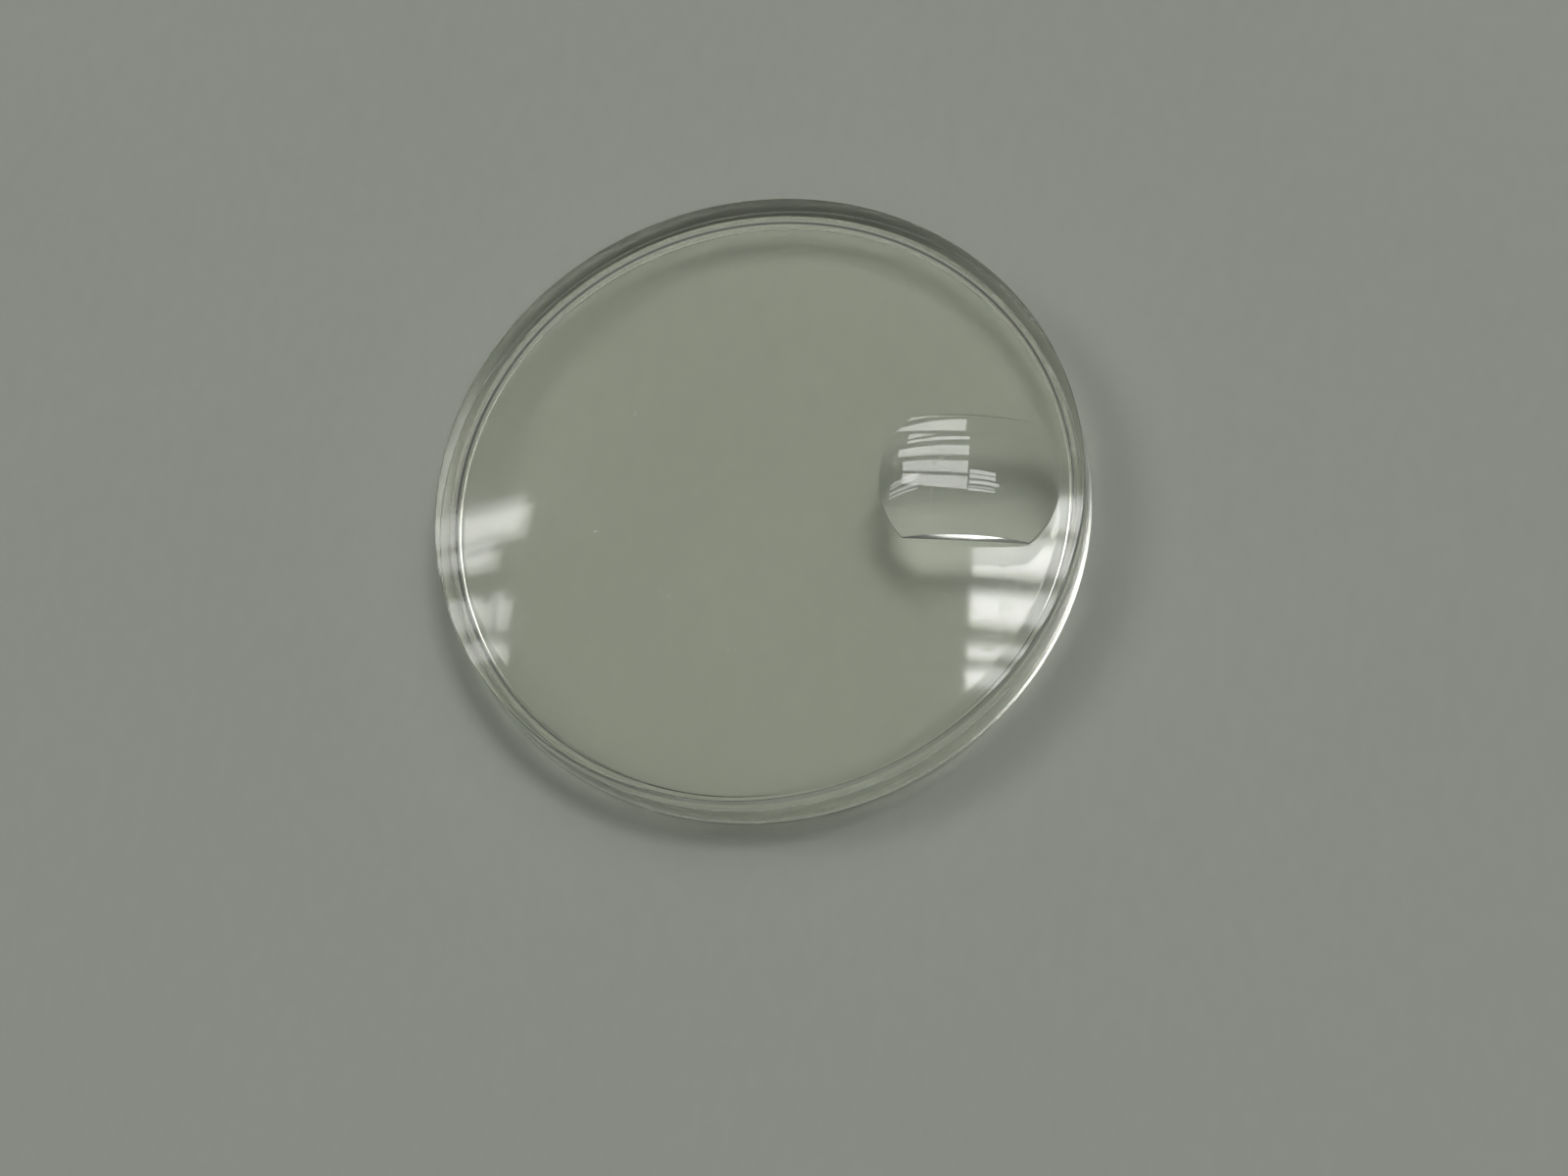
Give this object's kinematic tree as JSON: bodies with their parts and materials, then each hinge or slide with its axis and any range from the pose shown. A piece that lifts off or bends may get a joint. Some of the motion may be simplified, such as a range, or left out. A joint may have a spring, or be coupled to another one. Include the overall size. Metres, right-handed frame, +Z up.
{
  "type": "watch crystal",
  "caption": "Clear acrylic watch crystal with a straight press-fit skirt, a shallow dome and a bubble-shaped date magnifier cemented near its rim.",
  "frame": {"origin": "centre of the ring face that the skirt stands on", "axes": "+Z up through the middle of the dome, +X towards the date magnifier at three o'clock, +Y towards twelve o'clock"},
  "size_m": [0.03, 0.03, 0.0052],
  "materials": {
    "body_acrylic": "clear acrylic, polished above and inside, with faint turning marks on the skirt",
    "lens_acrylic": "clear acrylic, polished on the curve, milled on the two flats",
    "clear_cement": "clear solvent cement, wet looking"
  },
  "bodies": {
    "root": {"crystal_body": "body_acrylic", "date_magnifier": "lens_acrylic", "cement_film": "clear_cement"}
  },
  "joints": []
}
